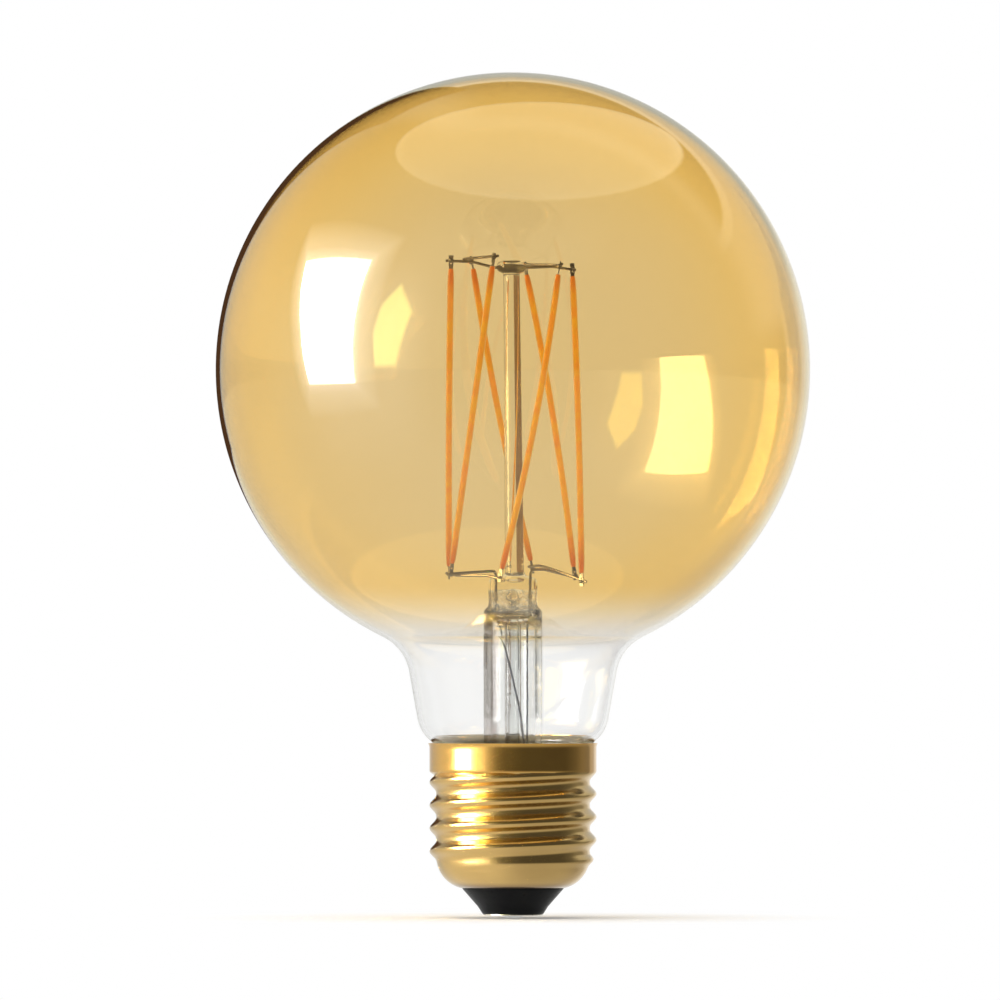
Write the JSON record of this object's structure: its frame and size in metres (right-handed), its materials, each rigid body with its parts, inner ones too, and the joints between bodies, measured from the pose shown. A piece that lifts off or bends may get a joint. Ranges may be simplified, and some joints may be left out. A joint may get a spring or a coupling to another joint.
{
  "type": "globe bulb",
  "caption": "Amber globe bulb with a twisted cage of light strips on a glass stem, and a rolled brass screw cap.",
  "frame": {"origin": "on the bulb's axis, at the lowest point of the centre contact", "axes": "+Z along the axis from the cap to the globe; the side that the picture shows faces -Y"},
  "size_m": [0.094, 0.094, 0.1336],
  "materials": {
    "amber_glass": "clear amber lustre inside, fading out at the neck",
    "clear_glass": "clear, fire polished",
    "cap_brass": "bright rolled brass, light wear on the crests",
    "black_insulator": "satin black",
    "tin_contact": "dull tinned",
    "solder": "dull tin solder",
    "cement": "matte",
    "strip_steel": "dark plain steel strip",
    "wire_steel": "drawn wire, darkened at the welds",
    "outer_wire": "thin drawn wire",
    "phosphor_coat": "moulded silicone, satin",
    "chip": "polished",
    "board": "coated board",
    "black_body": "moulded",
    "capacitor_can": "satin can",
    "inductor_core": "dull",
    "resistor_body": "glazed"
  },
  "bodies": {
    "root": {"glass_envelope": "amber_glass", "stem_flare": "clear_glass", "exhaust_tube": "clear_glass", "support_rod": "clear_glass", "cap_shell": "cap_brass", "cap_insulator": "black_insulator", "centre_contact": "tin_contact", "solder_dome": "solder", "shell_solder": "solder", "basing_cement": "cement", "filament_1": "strip_steel", "filament_2": "strip_steel", "filament_3": "strip_steel", "filament_4": "strip_steel", "filament_5": "strip_steel", "filament_6": "strip_steel", "hub_wire": "wire_steel", "top_bar_left": "wire_steel", "top_bar_right": "wire_steel", "foot_bar_left": "wire_steel", "foot_bar_right": "wire_steel", "inner_lead_left": "wire_steel", "inner_lead_right": "wire_steel", "outer_lead_left": "outer_wire", "outer_lead_right": "outer_wire", "centre_lead": "outer_wire", "shell_lead": "outer_wire", "phosphor_1": "phosphor_coat", "phosphor_2": "phosphor_coat", "phosphor_3": "phosphor_coat", "phosphor_4": "phosphor_coat", "phosphor_5": "phosphor_coat", "phosphor_6": "phosphor_coat", "led_chips": "chip", "driver_board": "board", "rectifier": "black_body", "driver_chip": "black_body", "smoothing_capacitor": "capacitor_can", "inductor": "inductor_core", "fuse_resistor": "resistor_body"}
  },
  "joints": []
}
